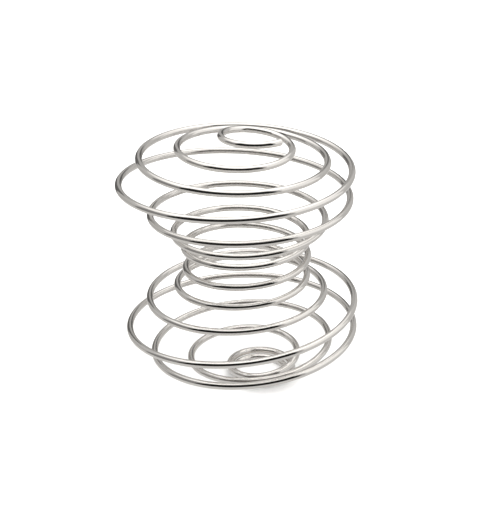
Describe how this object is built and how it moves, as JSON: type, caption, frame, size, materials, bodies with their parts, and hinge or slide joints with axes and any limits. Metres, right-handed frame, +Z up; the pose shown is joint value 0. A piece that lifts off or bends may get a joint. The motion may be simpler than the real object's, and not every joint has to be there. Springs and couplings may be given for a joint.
{
  "type": "wire whisk ball",
  "caption": "Hourglass-shaped stainless wire whisk ball, one round wire wound as a double cone spring, for mixing powder into a drink in a shaker cup.",
  "frame": {"origin": "on the ground, under the middle of the coil's bounding box", "axes": "+Z up along the coil, from the bottom eye to the top eye; -Y is the front, where each turn starts; +X is the right, where the top end of the wire points"},
  "size_m": [0.0454, 0.045, 0.0502],
  "materials": {
    "stainless_wire": "round stainless spring wire, bright drawn and electropolished, with faint draw lines along it and small scuffs"
  },
  "bodies": {
    "bottom": {"base_inner_right": "stainless_wire", "bottom_eye_upper_turn": "stainless_wire", "bottom_eye_lower_turn": "stainless_wire"},
    "base_inner_left": {"base_inner_left": "stainless_wire"},
    "base_outer_right": {"base_outer_right": "stainless_wire"},
    "base_outer_left": {"base_outer_left": "stainless_wire"},
    "lower_rim_right": {"lower_rim_right": "stainless_wire"},
    "lower_rim_left": {"lower_rim_left": "stainless_wire"},
    "lower_cone_wide_right": {"lower_cone_wide_right": "stainless_wire"},
    "lower_cone_wide_left": {"lower_cone_wide_left": "stainless_wire"},
    "lower_cone_narrow_right": {"lower_cone_narrow_right": "stainless_wire"},
    "lower_cone_narrow_left": {"lower_cone_narrow_left": "stainless_wire"},
    "waist_lower_front_right": {"waist_lower_front_right": "stainless_wire"},
    "waist_lower_back_right": {"waist_lower_back_right": "stainless_wire"},
    "waist_lower_back_left": {"waist_lower_back_left": "stainless_wire"},
    "waist_lower_front_left": {"waist_lower_front_left": "stainless_wire"},
    "waist_upper_front_right": {"waist_upper_front_right": "stainless_wire"},
    "waist_upper_back_right": {"waist_upper_back_right": "stainless_wire"},
    "waist_upper_back_left": {"waist_upper_back_left": "stainless_wire"},
    "waist_upper_front_left": {"waist_upper_front_left": "stainless_wire"},
    "upper_cone_narrow_right": {"upper_cone_narrow_right": "stainless_wire"},
    "upper_cone_narrow_left": {"upper_cone_narrow_left": "stainless_wire"},
    "upper_cone_wide_right": {"upper_cone_wide_right": "stainless_wire"},
    "upper_cone_wide_left": {"upper_cone_wide_left": "stainless_wire"},
    "upper_rim_right": {"upper_rim_right": "stainless_wire"},
    "upper_rim_left": {"upper_rim_left": "stainless_wire"},
    "crown_outer_right": {"crown_outer_right": "stainless_wire"},
    "crown_outer_left": {"crown_outer_left": "stainless_wire"},
    "crown_inner_right": {"crown_inner_right": "stainless_wire"},
    "crown_inner_left": {"crown_inner_left": "stainless_wire"},
    "top": {"top_eye": "stainless_wire", "top_eye_run_out": "stainless_wire"}
  },
  "joints": [
    {"name": "base_inner_left_give", "type": "slide", "parent": "bottom", "child": "base_inner_left", "axis": [0, 0, 1], "range_m": [-0.0001995, 0.0000889], "stiffness_N_per_m": 60, "springref_m": 0.00205},
    {"name": "base_outer_right_give", "type": "slide", "parent": "base_inner_left", "child": "base_outer_right", "axis": [0, 0, 1], "range_m": [-0.0004446, 0.0001981], "stiffness_N_per_m": 60, "springref_m": 0.00199},
    {"name": "base_outer_left_give", "type": "slide", "parent": "base_outer_right", "child": "base_outer_left", "axis": [0, 0, 1], "range_m": [-0.00077, 0.00034], "stiffness_N_per_m": 60, "springref_m": 0.00191},
    {"name": "lower_rim_right_give", "type": "slide", "parent": "base_outer_left", "child": "lower_rim_right", "axis": [0, 0, 1], "range_m": [-0.00128, 0.00057], "stiffness_N_per_m": 900, "springref_m": 0.00012},
    {"name": "lower_rim_left_give", "type": "slide", "parent": "lower_rim_right", "child": "lower_rim_left", "axis": [0, 0, 1], "range_m": [-0.00182, 0.00081], "stiffness_N_per_m": 634, "springref_m": 0.00016},
    {"name": "lower_cone_wide_right_give", "type": "slide", "parent": "lower_rim_left", "child": "lower_cone_wide_right", "axis": [0, 0, 1], "range_m": [-0.00181, 0.00081], "stiffness_N_per_m": 637, "springref_m": 0.00015},
    {"name": "lower_cone_wide_left_give", "type": "slide", "parent": "lower_cone_wide_right", "child": "lower_cone_wide_left", "axis": [0, 0, 1], "range_m": [-0.00135, 0.0006], "stiffness_N_per_m": 858, "springref_m": 0.0001},
    {"name": "lower_cone_narrow_right_give", "type": "slide", "parent": "lower_cone_wide_left", "child": "lower_cone_narrow_right", "axis": [0, 0, 1], "range_m": [-0.00081, 0.00036], "stiffness_N_per_m": 60, "springref_m": 0.00138},
    {"name": "lower_cone_narrow_left_give", "type": "slide", "parent": "lower_cone_narrow_right", "child": "lower_cone_narrow_left", "axis": [0, 0, 1], "range_m": [-0.0004551, 0.0002028], "stiffness_N_per_m": 60, "springref_m": 0.00129},
    {"name": "waist_lower_front_right_nod", "type": "hinge", "parent": "lower_cone_narrow_left", "child": "waist_lower_front_right", "pos_m": [0.0007, -0.01212, 0.0206], "axis": [1, 0, 0], "range_deg": [-2.4, 2.4], "stiffness_Nm_per_rad": 0.18, "springref_deg": 0.28},
    {"name": "waist_lower_back_right_sway", "type": "hinge", "parent": "waist_lower_front_right", "child": "waist_lower_back_right", "pos_m": [0.01282, -0.00002, 0.02164], "axis": [0, 1, 0], "range_deg": [-3, 3], "stiffness_Nm_per_rad": 0.144, "springref_deg": 0.34},
    {"name": "waist_lower_back_left_nod", "type": "hinge", "parent": "waist_lower_back_right", "child": "waist_lower_back_left", "pos_m": [0.00109, 0.0118, 0.02234], "axis": [1, 0, 0], "range_deg": [-2.4, 2.4], "stiffness_Nm_per_rad": 0.18, "springref_deg": -0.27},
    {"name": "sway", "type": "hinge", "parent": "waist_lower_back_left", "child": "waist_lower_front_left", "pos_m": [-0.0101, -0.00002, 0.02318], "axis": [0, 1, 0], "range_deg": [-3, 3], "stiffness_Nm_per_rad": 0.144, "springref_deg": -0.32},
    {"name": "nod", "type": "hinge", "parent": "waist_lower_front_left", "child": "waist_upper_front_right", "pos_m": [0.001, -0.01212, 0.0246], "axis": [1, 0, 0], "range_deg": [-2.4, 2.4], "stiffness_Nm_per_rad": 0.18, "springref_deg": 0.25},
    {"name": "waist_upper_back_right_sway", "type": "hinge", "parent": "waist_upper_front_right", "child": "waist_upper_back_right", "pos_m": [0.01293, -0.00002, 0.02584], "axis": [0, 1, 0], "range_deg": [-3, 3], "stiffness_Nm_per_rad": 0.144, "springref_deg": 0.31},
    {"name": "waist_upper_back_left_nod", "type": "hinge", "parent": "waist_upper_back_right", "child": "waist_upper_back_left", "pos_m": [0.00069, 0.01178, 0.0266], "axis": [1, 0, 0], "range_deg": [-2.4, 2.4], "stiffness_Nm_per_rad": 0.18, "springref_deg": -0.23},
    {"name": "waist_upper_front_left_sway", "type": "hinge", "parent": "waist_upper_back_left", "child": "waist_upper_front_left", "pos_m": [-0.01042, -0.00002, 0.02725], "axis": [0, 1, 0], "range_deg": [-3, 3], "stiffness_Nm_per_rad": 0.144, "springref_deg": -0.25},
    {"name": "upper_cone_narrow_right_nod", "type": "hinge", "parent": "waist_upper_front_left", "child": "upper_cone_narrow_right", "pos_m": [0.0011, -0.01111, 0.0281], "axis": [1, 0, 0], "range_deg": [-2.4, 2.4], "stiffness_Nm_per_rad": 0.18, "springref_deg": 0.21},
    {"name": "upper_cone_narrow_left_give", "type": "slide", "parent": "upper_cone_narrow_right", "child": "upper_cone_narrow_left", "axis": [0, 0, 1], "range_m": [-0.0003518, 0.0001568], "stiffness_N_per_m": 60, "springref_m": 0.00091},
    {"name": "upper_cone_wide_right_give", "type": "slide", "parent": "upper_cone_narrow_left", "child": "upper_cone_wide_right", "axis": [0, 0, 1], "range_m": [-0.0005391, 0.0002403], "stiffness_N_per_m": 60, "springref_m": 0.00084},
    {"name": "upper_cone_wide_left_give", "type": "slide", "parent": "upper_cone_wide_right", "child": "upper_cone_wide_left", "axis": [0, 0, 1], "range_m": [-0.0006843, 0.000305], "stiffness_N_per_m": 60, "springref_m": 0.00076},
    {"name": "upper_rim_right_give", "type": "slide", "parent": "upper_cone_wide_left", "child": "upper_rim_right", "axis": [0, 0, 1], "range_m": [-0.00109, 0.00049], "stiffness_N_per_m": 60, "springref_m": 0.00067},
    {"name": "squeeze", "type": "slide", "parent": "upper_rim_right", "child": "upper_rim_left", "axis": [0, 0, 1], "range_m": [-0.00175, 0.00078], "stiffness_N_per_m": 659, "springref_m": 0.00005},
    {"name": "crown_outer_right_give", "type": "slide", "parent": "upper_rim_left", "child": "crown_outer_right", "axis": [0, 0, 1], "range_m": [-0.00177, 0.00079], "stiffness_N_per_m": 651, "springref_m": 0.00004},
    {"name": "crown_outer_left_give", "type": "slide", "parent": "crown_outer_right", "child": "crown_outer_left", "axis": [0, 0, 1], "range_m": [-0.00133, 0.00059], "stiffness_N_per_m": 868, "springref_m": 0.00002},
    {"name": "crown_inner_right_give", "type": "slide", "parent": "crown_outer_left", "child": "crown_inner_right", "axis": [0, 0, 1], "range_m": [-0.00088, 0.00039], "stiffness_N_per_m": 60, "springref_m": 0.00023},
    {"name": "crown_inner_left_give", "type": "slide", "parent": "crown_inner_right", "child": "crown_inner_left", "axis": [0, 0, 1], "range_m": [-0.0004936, 0.00022], "stiffness_N_per_m": 60, "springref_m": 0.00015},
    {"name": "top_eye_run_out_give", "type": "slide", "parent": "crown_inner_left", "child": "top", "axis": [0, 0, 1], "range_m": [-0.0001943, 0.0000866], "stiffness_N_per_m": 60, "springref_m": 0.00008}
  ],
  "couplings": [
    {"joint": "base_inner_left_give", "follows": "squeeze", "ratio": 0.114},
    {"joint": "base_outer_right_give", "follows": "squeeze", "ratio": 0.254},
    {"joint": "base_outer_left_give", "follows": "squeeze", "ratio": 0.442},
    {"joint": "lower_rim_right_give", "follows": "squeeze", "ratio": 0.733},
    {"joint": "lower_rim_left_give", "follows": "squeeze", "ratio": 1.04},
    {"joint": "lower_cone_wide_right_give", "follows": "squeeze", "ratio": 1.036},
    {"joint": "lower_cone_wide_left_give", "follows": "squeeze", "ratio": 0.769},
    {"joint": "lower_cone_narrow_right_give", "follows": "squeeze", "ratio": 0.463},
    {"joint": "lower_cone_narrow_left_give", "follows": "squeeze", "ratio": 0.26},
    {"joint": "waist_lower_front_right_nod", "follows": "nod", "ratio": 1},
    {"joint": "waist_lower_back_right_sway", "follows": "sway", "ratio": 1},
    {"joint": "waist_lower_back_left_nod", "follows": "nod", "ratio": 1},
    {"joint": "waist_upper_back_right_sway", "follows": "sway", "ratio": 1},
    {"joint": "waist_upper_back_left_nod", "follows": "nod", "ratio": 1},
    {"joint": "waist_upper_front_left_sway", "follows": "sway", "ratio": 1},
    {"joint": "upper_cone_narrow_right_nod", "follows": "nod", "ratio": 1},
    {"joint": "upper_cone_narrow_left_give", "follows": "squeeze", "ratio": 0.201},
    {"joint": "upper_cone_wide_right_give", "follows": "squeeze", "ratio": 0.308},
    {"joint": "upper_cone_wide_left_give", "follows": "squeeze", "ratio": 0.391},
    {"joint": "upper_rim_right_give", "follows": "squeeze", "ratio": 0.625},
    {"joint": "crown_outer_right_give", "follows": "squeeze", "ratio": 1.013},
    {"joint": "crown_outer_left_give", "follows": "squeeze", "ratio": 0.76},
    {"joint": "crown_inner_right_give", "follows": "squeeze", "ratio": 0.502},
    {"joint": "crown_inner_left_give", "follows": "squeeze", "ratio": 0.282},
    {"joint": "top_eye_run_out_give", "follows": "squeeze", "ratio": 0.111}
  ]
}
